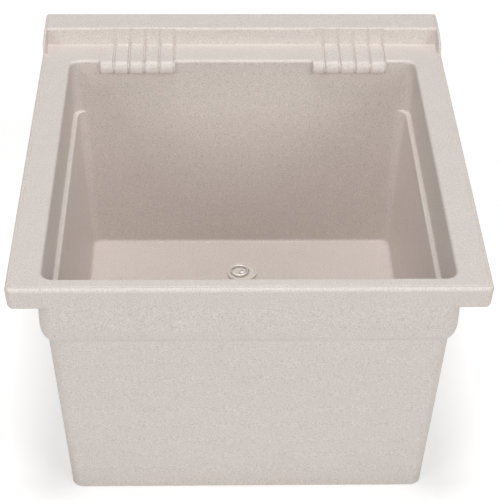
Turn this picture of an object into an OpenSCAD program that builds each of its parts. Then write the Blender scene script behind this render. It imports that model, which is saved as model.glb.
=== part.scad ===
// Laundry tub: a bowl moulded in one piece with its rim, rear ledge and washboards,
// a drain outlet screwed up under its floor, and a rubber stopper with a pull ring.
// Millimetres. The origin is on the ground under the middle of the tub,
// with X to the right, Y to the back and Z up.

/* [Tub] */
// Width over the rim, left to right
tub_w = 584; // [560:1:620]
// Depth over the rim, front to back
tub_d = 640; // [610:1:680]
// Depth of the bowl below the deck
bowl_depth = 304; // [280:1:330]
// Height of the bowl's floor above the ground
base_h = 45; // [43:1:60]
// Thickness of the moulded wall
wall_t = 5; // [4:0.5:6]
// Thickness of the bowl's floor
floor_t = 6; // [5:0.5:8]

/* [Rim] */
// Rim width from its side edge to the bowl's side wall
rim_side = 42; // [34:1:50]
// Rim width from its front edge to the bowl's front wall
rim_front = 23; // [20:1:30]
// Rim width from its back edge to the bowl's back wall
rim_rear = 98; // [92:1:115]
// Height of the rim's hanging skirt
skirt_h = 28; // [20:1:34]
// Amount by which the skirt leans in towards its lower edge
skirt_lean = 1.6; // [0.8:0.2:2.4]
// Radius of the rim's corners seen from above
rim_corner_r = 9; // [8:1:14]
// Radius that rounds the rim's outer top edge
lip_r = 5; // [3:0.5:6]
// Radius that rounds the rim into the bowl
bowl_edge_r = 4; // [2:0.5:5]

/* [Bowl] */
// Radius of the bowl's upright corners
bowl_corner_r = 15; // [12:1:22]
// Depth of the shelf in the side walls below the deck
shelf_depth = 80; // [70:1:95]
// Width of that shelf
shelf_w = 7; // [4:0.5:9]
// Lean of each side wall above the shelf
upper_lean = 1.5; // [0.5:0.25:3]
// Lean of each side wall from the shelf to the ground
lower_lean = 15.5; // [10:0.5:18]
// Lean of the back wall from the deck to the floor
back_lean = 29; // [20:1:34]
// Radius where the walls meet the floor
floor_fillet_r = 4; // [2:0.5:6]
// Drop from the deck to the underside of the shoulder
shoulder_depth = 85; // [82:1:98]
// Height of the rounded shoulder itself
shoulder_h = 28; // [20:1:34]
// Set-back of the front face below the shoulder
front_setback = 9.7; // [8:0.1:13]
// Thickness of the bottom edge that stands on the ground
foot_t = 4; // [3.5:0.25:4.5]

/* [Rear ledge] */
// Height of the rear ledge above the deck
ledge_h = 25; // [18:1:32]
// Depth of the ledge's flat top
ledge_d = 47; // [36:1:54]
// Length by which the ledge's front leans forward on its way down to the deck
face_lean = 4; // [2:0.5:8]
// Width of the cheek at each end of the ledge
cheek_w = 7; // [5:1:9]
// Length by which each cheek reaches forward of the ledge
cheek_reach = 33; // [28:1:38]
// Distance of each cheek's outer face from the rim's side edge
cheek_inset = 1.5; // [1:0.25:2]

/* [Washboards] */
// Number of ribs in each washboard
rib_count = 5; // [3:1:6]
// Distance from one rib to the next
rib_pitch = 22; // [20.5:0.5:24]
// Width of the groove at the right of each rib
groove_w = 3; // [2:0.5:5]
// Depth of the grooves
groove_d = 2.5; // [1.5:0.25:3]
// Height of the ribs above the deck
rib_h = 0.5; // [0.25:0.25:2]
// Distance from the tub's middle to each washboard's middle
board_x = 153.5; // [130:0.5:165]
// Length by which a washboard's nose stands out from the bowl's edge
nose_out = 10.5; // [8:0.5:14]
// Height of the nose's rounded front
nose_h = 16; // [12:0.5:18]
// Depth of the nose's foot on the bowl's back wall below the deck
nose_drop = 21.5; // [20:0.5:24]

/* [Drain] */
// Distance from the tub's middle back to the drain
drain_y = 110; // [90:1:120]
// Radius of the hole through the tub's floor
drain_hole_r = 19.5; // [19.4:0.1:21]
// Radius of the boss moulded under the floor
boss_r = 40; // [39:0.5:44]
// Height of that boss below the floor
boss_h = 8; // [6:0.5:9]
// Radius of the outlet's bore, for a 38.1 mm waste tube
outlet_bore_r = 19.3; // [19.2:0.05:19.4]
// Outer radius of the outlet's threaded neck
neck_r = 23.8; // [22.5:0.1:24.2]
// Length of the threaded neck below its flange
neck_len = 16.5; // [14:0.5:17]
// Radius of the outlet's flange
flange_r = 38; // [36.5:0.5:39]
// Thickness of the outlet's flange
flange_t = 4; // [3:0.25:4.25]
// Thickness of the rubber gasket
gasket_t = 2.5; // [2:0.25:3]
// Radius of the strainer plate
strainer_r = 23; // [22:0.25:24]
// Thickness of the strainer plate
strainer_t = 1; // [0.8:0.1:1.5]
// Radius of the strainer's small holes
strainer_hole_r = 2.6; // [2:0.1:2.8]
// Radius of the circle on which the flange screws stand
screw_circle_r = 31; // [30.5:0.25:32]
// Number of flange screws
screw_count = 4; // [3:1:6]
// Radius of a flange screw's shank
screw_r = 2; // [1.5:0.1:2.25]
// Length of a flange screw's shank
screw_len = 16.5; // [13:0.5:17]
// Radius of a flange screw's head
screw_head_r = 4; // [3.5:0.1:4.25]
// Outer radius of the coupling nut between its lugs
nut_r = 28.5; // [27.5:0.5:30]
// Thickness of the nut's inward lip
nut_lip_t = 2.5; // [2:0.25:3]
// Number of lugs on the nut
lug_count = 8; // [6:1:10]
// Thickness of the slip washer
slip_washer_t = 3; // [2.5:0.25:3.5]

/* [Stopper] */
// Radius of the stopper's top disc
stopper_r = 22.5; // [21.5:0.25:24]
// Thickness of the disc in its dish
dish_t = 2.5; // [2:0.25:3.5]
// Height of the bead round the disc's edge above the dish
bead_h = 1.5; // [1.25:0.25:2]
// Width of that bead
bead_w = 4; // [3:0.25:5]
// Gap between the strainer and the rivet's lower end
strainer_gap = 1.7; // [0.8:0.1:3]
// Radius of the steel ring bracket's plate
bracket_r = 6.4; // [6:0.1:6.8]
// Thickness of the bracket's plate
bracket_t = 1; // [0.8:0.1:1.2]
// Radius of the rivet's shank
rivet_r = 2.2; // [1.8:0.1:2.4]
// Radius of the hole down the rivet
rivet_hole_r = 1.2; // [0.8:0.1:1.3]
// Radius of the washer under the plug
rivet_washer_r = 6; // [5:0.25:8]

/* [Pull ring] */
// Radius of the pull ring's centre line
ring_r = 12.4; // [11.5:0.1:14]
// Radius of the ring's wire
wire_r = 1.35; // [1:0.05:1.5]
// Distance from the stopper's middle to the ring's hinge
hinge_x = 8.4; // [8:0.1:9]
// Length of the eye that holds the ring
eye_len = 4; // [3:0.25:4.5]

/* [Hidden] */
$fn = 64;

// Steps along each rounded corner of the moulded shell, and along its rounded edges
corner_steps = 8;
edge_steps = 4;

// Clearances: between separate bodies, round a screw, and between thread crests
seat_gap = 0.3;
screw_gap = 0.3;
pilot_gap = 0.05;
thread_gap = 0.2;
eye_gap = 0.35;
overcut = 1;

// Levels of the shell
floor_z = base_h;
deck_h = base_h + bowl_depth;
under_floor_z = floor_z - floor_t;
skirt_z = deck_h - skirt_h;
shelf_z = deck_h - shelf_depth;
shoulder_z = deck_h - shoulder_depth;

// Bowl walls at the deck, then how far they lean in lower down
half_w = tub_w / 2;
half_d = tub_d / 2;
bowl_x = half_w - rim_side;
bowl_front = -half_d + rim_front;
bowl_back = half_d - rim_rear;
lower_slope = lower_lean / shoulder_z;
back_slope = back_lean / bowl_depth;

// Lean of the inner side wall at a level
function inner_lean(z) = z >= shelf_z
    ? upper_lean * (deck_h - z) / shelf_depth
    : upper_lean + shelf_w + (shelf_z - z) * lower_slope;

// Inner face of the back wall at a level
function inner_back(z) = bowl_back - (deck_h - z) * back_slope;

// Outer side face below the shoulder at a level
function outer_lean(z) = upper_lean + shelf_w - wall_t + (shelf_z - z) * lower_slope;

// Outer front face below the shoulder at a level
function outer_front(z) = -half_d + front_setback + (shoulder_z - z) * lower_slope;

// One level of the shell: a rectangle with rounded corners, given by its half width,
// its front and back, its corner radius and its height
function level(half, front, back, r, z) = [
    for (c = [[1, 1, 0], [-1, 1, 90], [-1, -1, 180], [1, -1, 270]])
        for (i = [0 : corner_steps])
            let (a = c[2] + 90 * i / corner_steps)
            [
                c[0] * (half - r) + r * cos(a),
                (c[1] > 0 ? back - r : front + r) + r * sin(a),
                z
            ]
];

// A level of the inner wall, and one of the outer wall below the shoulder
function inner_level(z, inset = 0) = level(
    bowl_x - inner_lean(z) - inset,
    bowl_front + inner_lean(z) + inset,
    inner_back(z) - inset,
    bowl_corner_r, z);
function outer_level(z, inset = 0) = level(
    bowl_x - outer_lean(z) - inset,
    outer_front(z) + inset,
    inner_back(z) + wall_t - inset,
    bowl_corner_r - inset, z);

// A level of the band between the shoulder and the rim, t running from its shoulder's foot to its top
band_x = bowl_x - upper_lean * skirt_h / shelf_depth + wall_t;
band_front = -half_d + skirt_lean / 2;
function shoulder_level(a) =
    let (z = shoulder_z + shoulder_h * (1 - cos(a)), foot = bowl_x - outer_lean(shoulder_z))
    level(
        foot + (band_x - foot) * sin(a),
        outer_front(shoulder_z) + (band_front - outer_front(shoulder_z)) * sin(a),
        inner_back(z) + wall_t,
        bowl_corner_r, z);

// A level of the rim, and one of the skirt, whose front stays almost flush with the band
function rim_level(inset, z) = level(
    half_w - inset, -half_d + inset, half_d - inset, rim_corner_r - inset, z);
function skirt_level(inset, z) = level(
    half_w - inset, -half_d + skirt_lean / 4, half_d - inset, rim_corner_r - inset, z);

// The shell's levels in order: under the floor, down to the ground, up the outside,
// over the rim, and down the inside to the floor
foot_edge_r = 1.5;
skirt_edge_r = 2.5;
shelf_edge = 2;
shell_levels = concat(
    [outer_level(under_floor_z, foot_t + floor_fillet_r)],
    [outer_level(under_floor_z - floor_fillet_r, foot_t)],
    [outer_level(0, foot_t)],
    [outer_level(0, foot_edge_r), outer_level(foot_edge_r, 0)],
    [for (a = [0 : 90 / edge_steps : 90]) shoulder_level(a)],
    [level(band_x, band_front, inner_back(skirt_z) + wall_t, bowl_corner_r, skirt_z)],
    [for (a = [0 : 90 / edge_steps : 90])
        skirt_level(
            skirt_lean + skirt_edge_r * (1 - sin(a)),
            skirt_z + skirt_edge_r * (1 - cos(a)))],
    [for (a = [0 : 90 / edge_steps : 90])
        rim_level(lip_r * (1 - cos(a)), deck_h - lip_r * (1 - sin(a)))],
    [for (a = [0 : 90 / edge_steps : 90])
        level(
            bowl_x + bowl_edge_r * (1 - sin(a)),
            bowl_front - bowl_edge_r * (1 - sin(a)),
            bowl_back + bowl_edge_r * (1 - sin(a)),
            bowl_corner_r + bowl_edge_r * (1 - sin(a)),
            deck_h - bowl_edge_r * (1 - cos(a)))],
    [inner_level(shelf_z + shelf_w / 2), inner_level(shelf_z)],
    [level(
        bowl_x - upper_lean - shelf_w,
        bowl_front + upper_lean + shelf_w,
        inner_back(shelf_z - shelf_edge),
        bowl_corner_r, shelf_z - shelf_edge)],
    [for (a = [0 : 90 / edge_steps : 90])
        inner_level(floor_z + floor_fillet_r * (1 - sin(a)), floor_fillet_r * (1 - cos(a)))]
);

// Skin of triangles through a list of levels, closed at both ends
module lofted(levels) {
    n = len(levels[0]);
    rows = len(levels);
    points = [for (row = levels) for (p = row) p];
    sides = [
        for (j = [0 : rows - 2])
            for (i = [0 : n - 1])
                let (a = j * n + i, b = j * n + (i + 1) % n)
                for (t = [[a, b, b + n], [a, b + n, a + n]])
                    t
    ];
    first_cap = [[for (i = [0 : n - 1]) i]];
    last_cap = [[for (i = [n - 1 : -1 : 0]) (rows - 1) * n + i]];
    polyhedron(points = points, faces = concat(sides, first_cap, last_cap), convexity = 10);
}

// Side view of the rear ledge as [y, z] points, with rounded top edges and a leaning front
ledge_edge_r = 4;
ledge_front = half_d - ledge_d;
ledge_foot = ledge_front - face_lean;
ledge_top = deck_h + ledge_h;
ledge_root_r = 2;
ledge_sink = 3;
ledge_root_z = deck_h - lip_r;
ledge_outline = concat(
    [[half_d, ledge_root_z]],
    [for (a = [0 : 30 : 90])
        [half_d - ledge_edge_r * (1 - cos(a)), ledge_top - ledge_edge_r * (1 - sin(a))]],
    [for (a = [90 : 30 : 180])
        [ledge_front + ledge_edge_r * (1 + cos(a)), ledge_top - ledge_edge_r * (1 - sin(a))]],
    [for (a = [0 : 30 : 90])
        [ledge_foot - ledge_root_r * (1 - cos(a)), deck_h + ledge_root_r * (1 - sin(a))]],
    [[ledge_foot - ledge_root_r, deck_h - ledge_sink]],
    [[half_d - wall_t, deck_h - ledge_sink], [half_d - wall_t, ledge_root_z]]
);

// Side view of the cheek that closes each end of the ledge: it slopes down gently at first,
// then rounds off to the deck
cheek_slope = 5;
cheek_round_r = 11;
cheek_outline = concat(
    [[half_d - lip_r, deck_h - ledge_sink]],
    [[half_d - lip_r, ledge_top - ledge_edge_r], [half_d - lip_r - ledge_edge_r, ledge_top]],
    [[ledge_front, ledge_top]],
    [for (a = [90 : 18 : 180])
        [
            ledge_front - cheek_reach + cheek_round_r * (1 + cos(a)),
            ledge_top - cheek_slope - cheek_round_r * (1 - sin(a))
        ]],
    [[ledge_front - cheek_reach, deck_h - ledge_sink]]
);

// Nose that a washboard puts out over the bowl's edge, as the points of its side view from its
// round top down to its chin, drawn in from the ribs' surface by a depth
nose_reach = 11;
nose_chin = 1.6;
groove_set_back = 2.4;
nose_front = bowl_back - nose_out;
nose_middle_z = deck_h + rib_h - nose_h;
function nose(depth) =
    let (
        reach = nose_reach - groove_set_back * depth / groove_d,
        height = nose_h - depth)
    concat(
        [for (a = [90 : 15 : 180])
            [nose_front + nose_reach + reach * cos(a), nose_middle_z + height * sin(a)]],
        [[nose_front + nose_reach - reach + nose_chin, nose_middle_z - nose_chin]]
    );

// Side view of a washboard: along the deck, over the bowl's edge and back to the bowl's wall
nose_foot_z = deck_h - nose_drop;
board_outline = concat(
    [[ledge_foot, deck_h - ledge_sink], [ledge_foot, deck_h + rib_h]],
    nose(0),
    [[inner_back(nose_foot_z) + wall_t / 2, nose_foot_z]],
    [[bowl_back + wall_t / 2, deck_h - ledge_sink]]
);

// Side view of the cut for a groove: down the ledge's front, along the deck and over the nose,
// where it runs out just before the bowl's wall, then back through the air
groove_root = 1.2;
groove_end = 0.3;
groove_air = 2;
groove_outline = concat(
    [[ledge_front, ledge_top - ledge_edge_r], [ledge_foot + groove_root, deck_h + rib_h - groove_d]],
    nose(groove_d),
    [[inner_back(nose_foot_z) - groove_end, nose_foot_z + groove_end]],
    [[nose_front - groove_air, nose_foot_z], [nose_front - groove_air, deck_h + groove_air]],
    [[ledge_foot - groove_air, deck_h + groove_air], [ledge_front - groove_air, ledge_top - ledge_edge_r]]
);

// Extrudes a side view, given as [y, z] points, from x0 to x1
module side_view(outline, x0, x1) {
    translate([x0, 0, 0])
        rotate([90, 0, 90])
            linear_extrude(height = x1 - x0)
                polygon(outline);
}

// Flat outline of one level
module flat_level(half, front, back, r) {
    polygon([for (p = level(half, front, back, r, 0)) [p[0], p[1]]]);
}

// Space under the rim, open below, between the skirt and the bowl at the sides and back
channel_step = 0.3;
module rim_channel() {
    translate([0, 0, skirt_z - overcut])
        linear_extrude(height = skirt_h - wall_t + overcut)
            difference() {
                flat_level(
                    half_w - skirt_lean - wall_t,
                    -half_d + skirt_lean + wall_t,
                    half_d - skirt_lean - wall_t,
                    rim_corner_r - wall_t / 2);
                flat_level(
                    band_x + channel_step,
                    -half_d - rim_front,
                    inner_back(skirt_z) + wall_t + channel_step,
                    bowl_corner_r);
            }
}

// Hollow inside the rear ledge, open to the channel below it
module ledge_hollow() {
    front = ledge_front + wall_t;
    back = half_d - skirt_lean - wall_t;
    half = half_w - 2 * cheek_w;
    translate([-half, front, skirt_z])
        cube([2 * half, back - front, skirt_h + ledge_h - wall_t]);
}

// Levels and radii under the drain
boss_z = under_floor_z - boss_h;
gasket_z = boss_z - gasket_t;
flange_z = gasket_z - flange_t;
neck_z = flange_z - neck_len;
thread_h = 1;
nut_bore_r = neck_r + thread_gap;
slip_washer_z = neck_z - slip_washer_t;
nut_z = slip_washer_z - nut_lip_t;
bare_neck = 4.5;
nut_top_z = flange_z - bare_neck;
gasket_hole_r = drain_hole_r + screw_gap;

// Places its children on the flange's screw circle
module on_screw_circle() {
    for (i = [0 : screw_count - 1])
        translate([0, drain_y, 0])
            rotate([0, 0, 45 + 360 * i / screw_count])
                translate([screw_circle_r, 0, 0])
                    children();
}

// Width of the ribs of a washboard with the grooves between them, and its left side
board_w = rib_count * rib_pitch - groove_w;
function board_left(side) = side * board_x - board_w / 2;

module tub() {
    color([0.80, 0.765, 0.73])
    difference() {
        union() {
            difference() {
                lofted(shell_levels);
                rim_channel();
            }
            side_view(ledge_outline, -half_w + cheek_w, half_w - cheek_w);
            for (side = [-1, 1]) {
                x = side * (half_w - cheek_inset - cheek_w / 2);
                side_view(cheek_outline, x - cheek_w / 2, x + cheek_w / 2);
            }
            for (side = [-1, 1])
                side_view(board_outline, board_left(side), board_left(side) + board_w + groove_w / 2);
            translate([0, drain_y, boss_z])
                cylinder(r = boss_r, h = boss_h + floor_t / 2);
        }
        ledge_hollow();
        for (side = [-1, 1])
            for (i = [1 : rib_count])
                let (right = board_left(side) + i * rib_pitch)
                side_view(groove_outline, right - groove_w, right);
        translate([0, drain_y, boss_z - overcut])
            cylinder(r = drain_hole_r, h = floor_z - boss_z + 2 * overcut);
        translate([0, drain_y, boss_z - overcut])
            cylinder(r = strainer_r + pilot_gap, h = strainer_t + overcut);
        on_screw_circle()
            translate([0, 0, boss_z - overcut])
                cylinder(r = screw_r + pilot_gap, h = flange_z + screw_len - boss_z + 2 * overcut, $fn = 24);
    }
}

module drain_outlet() {
    color([0.93, 0.92, 0.89])
    difference() {
        union() {
            translate([0, drain_y, flange_z])
                cylinder(r = flange_r, h = flange_t);
            translate([0, drain_y, neck_z])
                cylinder(r = neck_r - thread_h, h = neck_len);
            thread_ridges();
        }
        translate([0, drain_y, neck_z - overcut])
            cylinder(r = outlet_bore_r, h = neck_len + flange_t + 2 * overcut);
        on_screw_circle()
            translate([0, 0, flange_z - overcut])
                cylinder(r = screw_r + screw_gap, h = flange_t + 2 * overcut, $fn = 24);
    }
}

// Thread crests of the neck, drawn as level ridges
thread_pitch = 2.2;
module thread_ridges() {
    root_half = 0.7;
    crest_half = 0.2;
    root_r = neck_r - thread_h;
    in_r = root_r - thread_h / 2;
    for (z = [neck_z + thread_pitch / 2 : thread_pitch : flange_z - thread_pitch])
        translate([0, drain_y, z])
            rotate_extrude()
                polygon([
                    [in_r, -root_half], [root_r, -root_half], [neck_r, -crest_half],
                    [neck_r, crest_half], [root_r, root_half], [in_r, root_half]
                ]);
}

module outlet_gasket() {
    color([0.12, 0.12, 0.12])
    difference() {
        translate([0, drain_y, gasket_z])
            cylinder(r = flange_r, h = gasket_t);
        translate([0, drain_y, gasket_z - overcut])
            cylinder(r = gasket_hole_r, h = gasket_t + 2 * overcut);
        on_screw_circle()
            translate([0, 0, gasket_z - overcut])
                cylinder(r = screw_r + screw_gap, h = gasket_t + 2 * overcut, $fn = 24);
    }
}

// Strainer: a middle hole and two rings of small ones
strainer_rings = [[0, 1], [7, 6], [14, 12]];
module strainer_plate() {
    color([0.75, 0.76, 0.78])
    difference() {
        translate([0, drain_y, boss_z])
            cylinder(r = strainer_r, h = strainer_t);
        for (ring = strainer_rings, i = [0 : ring[1] - 1])
            translate([0, drain_y, boss_z - overcut])
                rotate([0, 0, 360 * i / ring[1]])
                    translate([ring[0], 0, 0])
                        cylinder(r = strainer_hole_r, h = strainer_t + 2 * overcut, $fn = 24);
    }
}

module flange_screws() {
    head_h = 2.2;
    head_bevel = 1.2;
    tip_r = 0.4;
    recess_r = 1.6;
    recess_w = 0.8;
    recess_h = 1.2;
    color([0.70, 0.71, 0.73])
    on_screw_circle()
        difference() {
            union() {
                translate([0, 0, flange_z])
                    cylinder(r = screw_r, h = screw_len - screw_r, $fn = 24);
                translate([0, 0, flange_z + screw_len - screw_r])
                    cylinder(r1 = screw_r, r2 = tip_r, h = screw_r, $fn = 24);
                translate([0, 0, flange_z - head_h])
                    rotate_extrude($fn = 32)
                        polygon([[0, 0], [screw_head_r - head_bevel, 0], [screw_head_r, head_bevel],
                            [screw_head_r, head_h], [0, head_h]]);
            }
            for (a = [0, 90])
                rotate([0, 0, a])
                    translate([-recess_r, -recess_w / 2, flange_z - head_h - overcut])
                        cube([2 * recess_r, recess_w, overcut + recess_h]);
        }
}

module coupling_nut() {
    lug_w = 5;
    lug_out = 2.6;
    lug_sink = 1;
    nut_h = nut_top_z - nut_z;
    lip_hole_r = outlet_bore_r + screw_gap;
    color([0.93, 0.92, 0.89])
    difference() {
        union() {
            translate([0, drain_y, nut_z])
                cylinder(r = nut_r, h = nut_h);
            for (i = [0 : lug_count - 1])
                translate([0, drain_y, nut_z])
                    rotate([0, 0, 360 * i / lug_count])
                        translate([nut_r - lug_sink, -lug_w / 2, 0])
                            cube([lug_sink + lug_out, lug_w, nut_h]);
        }
        translate([0, drain_y, nut_z + nut_lip_t])
            cylinder(r = nut_bore_r, h = nut_h);
        translate([0, drain_y, nut_z - overcut])
            cylinder(r = lip_hole_r, h = nut_lip_t + 2 * overcut);
    }
}

module slip_washer() {
    in_r = outlet_bore_r + thread_gap;
    out_r = nut_bore_r - thread_h / 2;
    bevel = 1;
    color([0.85, 0.85, 0.80])
    translate([0, drain_y, slip_washer_z])
        rotate_extrude()
            polygon([
                [in_r, 0], [out_r, 0], [out_r, slip_washer_t - bevel],
                [out_r - bevel, slip_washer_t], [in_r, slip_washer_t]
            ]);
}

// Levels of the stopper
boss_rise = 1;
washer_t = 1;
clinch_h = 0.8;
disc_z = floor_z + seat_gap;
dish_z = disc_z + dish_t;
bead_top = dish_z + bead_h;
stopper_boss_z = dish_z + boss_rise;
bracket_z = stopper_boss_z + bracket_t;
clinch_z = boss_z + strainer_t + strainer_gap;
plug_z = clinch_z + clinch_h + washer_t;

// Height of the ring's hinge, which lets the lying ring clear the bead
hinge_z = bead_top + seat_gap + wire_r;
eye_wall = 0.9;
eye_hole_r = wire_r + eye_gap;
eye_r = eye_hole_r + eye_wall;

// Radii of the stopper: the plug tapers into the drain hole, and the boss stops short of the eye
plug_top_r = drain_hole_r - 0.6;
plug_end_r = drain_hole_r - 2;
bead_in_r = stopper_r - bead_w;
stopper_boss_r = hinge_x - eye_r - seat_gap;

// Outline of the stopper turned about its axis: plug, disc, rounded bead, dish and boss
module stopper() {
    bevel = 0.8;
    bead_r = 1.2;
    plug_land = 1.5;
    color([0.88, 0.87, 0.83])
    translate([0, drain_y, 0])
        rotate_extrude()
            polygon(concat(
                [[rivet_r, plug_z], [plug_end_r - bevel, plug_z], [plug_end_r, plug_z + bevel]],
                [[plug_top_r, disc_z - plug_land], [plug_top_r, disc_z]],
                [[stopper_r - bevel, disc_z], [stopper_r, disc_z + bevel]],
                [for (a = [0 : 30 : 90])
                    [stopper_r - bead_r * (1 - cos(a)), bead_top - bead_r * (1 - sin(a))]],
                [[bead_in_r + bead_r, bead_top], [bead_in_r, dish_z]],
                [[stopper_boss_r + bevel, dish_z], [stopper_boss_r, stopper_boss_z]],
                [[rivet_r, stopper_boss_z]]
            ));
}

// A plate held by the rivet, with an eye rolled up at its right edge
module ring_bracket() {
    color([0.78, 0.78, 0.78])
    difference() {
        union() {
            translate([0, drain_y, stopper_boss_z])
                cylinder(r = bracket_r, h = bracket_t);
            translate([rivet_r + overcut, drain_y - eye_len / 2, stopper_boss_z])
                cube([hinge_x - rivet_r - overcut, eye_len, bracket_t]);
            translate([hinge_x, drain_y + eye_len / 2, hinge_z])
                rotate([90, 0, 0])
                    cylinder(r = eye_r, h = eye_len, $fn = 48);
        }
        translate([hinge_x, drain_y + eye_len / 2 + overcut, hinge_z])
            rotate([90, 0, 0])
                cylinder(r = eye_hole_r, h = eye_len + 2 * overcut, $fn = 48);
        translate([0, drain_y, stopper_boss_z - overcut])
            cylinder(r = rivet_r, h = bracket_t + 2 * overcut, $fn = 32);
    }
}

// A hollow rivet, turned: its clinched lower end, its shank, and its domed head on the bracket
module stopper_rivet() {
    head_r = rivet_r + 1.4;
    head_z = bracket_z + 1;
    clinch_r = rivet_r + 1.2;
    clinch_top = clinch_z + clinch_h;
    bevel = 0.4;
    color([0.78, 0.78, 0.78])
    translate([0, drain_y, 0])
        rotate_extrude($fn = 48)
            polygon([
                [rivet_hole_r, clinch_z], [clinch_r - bevel, clinch_z], [clinch_r, clinch_z + bevel],
                [clinch_r, clinch_top], [rivet_r, clinch_top], [rivet_r, bracket_z],
                [head_r, bracket_z], [head_r, bracket_z + bevel], [head_r - 2 * bevel, head_z],
                [rivet_hole_r + bevel, head_z], [rivet_hole_r, head_z - bevel]
            ]);
}

module rivet_washer() {
    color([0.78, 0.78, 0.78])
    translate([0, drain_y, plug_z - washer_t])
        difference() {
            cylinder(r = rivet_washer_r, h = washer_t);
            translate([0, 0, -overcut])
                cylinder(r = rivet_r, h = washer_t + 2 * overcut, $fn = 32);
        }
}

module pull_ring() {
    color([0.82, 0.82, 0.81])
    translate([hinge_x - ring_r, drain_y, hinge_z])
        rotate_extrude($fn = 96)
            translate([ring_r, 0])
                circle(r = wire_r, $fn = 32);
}

tub();
drain_outlet();
outlet_gasket();
strainer_plate();
flange_screws();
coupling_nut();
slip_washer();
stopper();
ring_bracket();
stopper_rivet();
rivet_washer();
pull_ring();
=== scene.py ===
"""Looks of a moulded laundry tub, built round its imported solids.

The tub is drawn again as one fine skin with the soft edges of the real casting. The drain's and
the stopper's pieces keep the meshes of their solids, and each has its own finish.
The tub's sizes are in millimetres until its mesh is made. All else is in metres.
"""

import logging
import math
from collections.abc import Sequence
from dataclasses import dataclass, fields
from enum import Enum

import bmesh
import bpy
import numpy as np
from mathutils import Matrix, Vector

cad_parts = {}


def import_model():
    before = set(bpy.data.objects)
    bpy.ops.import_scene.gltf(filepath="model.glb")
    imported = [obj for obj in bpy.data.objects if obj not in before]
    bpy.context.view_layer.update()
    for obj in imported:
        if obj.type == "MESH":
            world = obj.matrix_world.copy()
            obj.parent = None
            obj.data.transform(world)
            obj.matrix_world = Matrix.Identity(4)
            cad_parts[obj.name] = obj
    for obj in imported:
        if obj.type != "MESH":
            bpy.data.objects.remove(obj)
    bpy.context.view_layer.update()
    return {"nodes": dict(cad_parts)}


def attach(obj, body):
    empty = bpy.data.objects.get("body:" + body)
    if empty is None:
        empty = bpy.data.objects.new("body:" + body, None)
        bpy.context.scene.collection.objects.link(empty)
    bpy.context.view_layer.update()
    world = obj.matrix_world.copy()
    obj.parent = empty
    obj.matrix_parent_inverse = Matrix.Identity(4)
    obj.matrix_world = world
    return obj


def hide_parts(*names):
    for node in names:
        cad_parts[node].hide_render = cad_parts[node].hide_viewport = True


LOG = logging.getLogger("laundry_tub")
MM = 0.001
NO_LENGTH = 1e-12
WHITE = (1.0, 1.0, 1.0, 1.0)

Point = tuple[float, float, float]
Row = list[Point]
Sizes = tuple[float, ...]
Pairs = tuple[tuple[float, float], ...]


def mix(a: float, b: float, t: float) -> float:
    """Value at t on the way from a to b."""
    return a + (b - a) * t


def wave(degrees: float) -> tuple[float, float]:
    """Cosine and sine of an angle in degrees."""
    return math.cos(math.radians(degrees)), math.sin(math.radians(degrees))


def steps(start: float, end: float, count: int) -> list[float]:
    """Evenly spaced values from start to end, both included, with count intervals."""
    return [mix(start, end, i / count) for i in range(count + 1)]


def waves(start: float, end: float, count: int) -> list[tuple[float, float]]:
    """Cosines and sines of evenly spaced angles in degrees, with count intervals."""
    return [wave(a) for a in steps(start, end, count)]


def bezier(a: Sequence[float], b: Sequence[float], c: Sequence[float], d: Sequence[float],
           count: int) -> list[tuple[float, float]]:
    """Points along a cubic curve in a plane.

    Args:
        a: Start point.
        b: Start handle.
        c: End handle.
        d: End point.
        count: Number of intervals.

    Returns:
        The points from start to end.
    """
    points = []
    for t in steps(0, 1, count):
        u = 1 - t
        weights = (u * u * u, 3 * u * u * t, 3 * u * t * t, t * t * t)
        points.append(tuple(
            sum(w * p[axis] for w, p in zip(weights, (a, b, c, d))) for axis in (0, 1)))
    return points


def shares(points: np.ndarray) -> np.ndarray:
    """Length along the points' first two columns, as a share of the whole."""
    total = np.concatenate([[0.0], np.cumsum(np.hypot(*np.diff(points[:, :2], axis=0).T))])
    return total / total[-1]


def placed(name: str, data: bpy.types.ID) -> bpy.types.Object:
    """Makes an object and puts it in the scene.

    Args:
        name: Its name.
        data: Its mesh, lamp or camera.

    Returns:
        The object.
    """
    obj = bpy.data.objects.new(name, data)
    bpy.context.scene.collection.objects.link(obj)
    return obj


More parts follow.
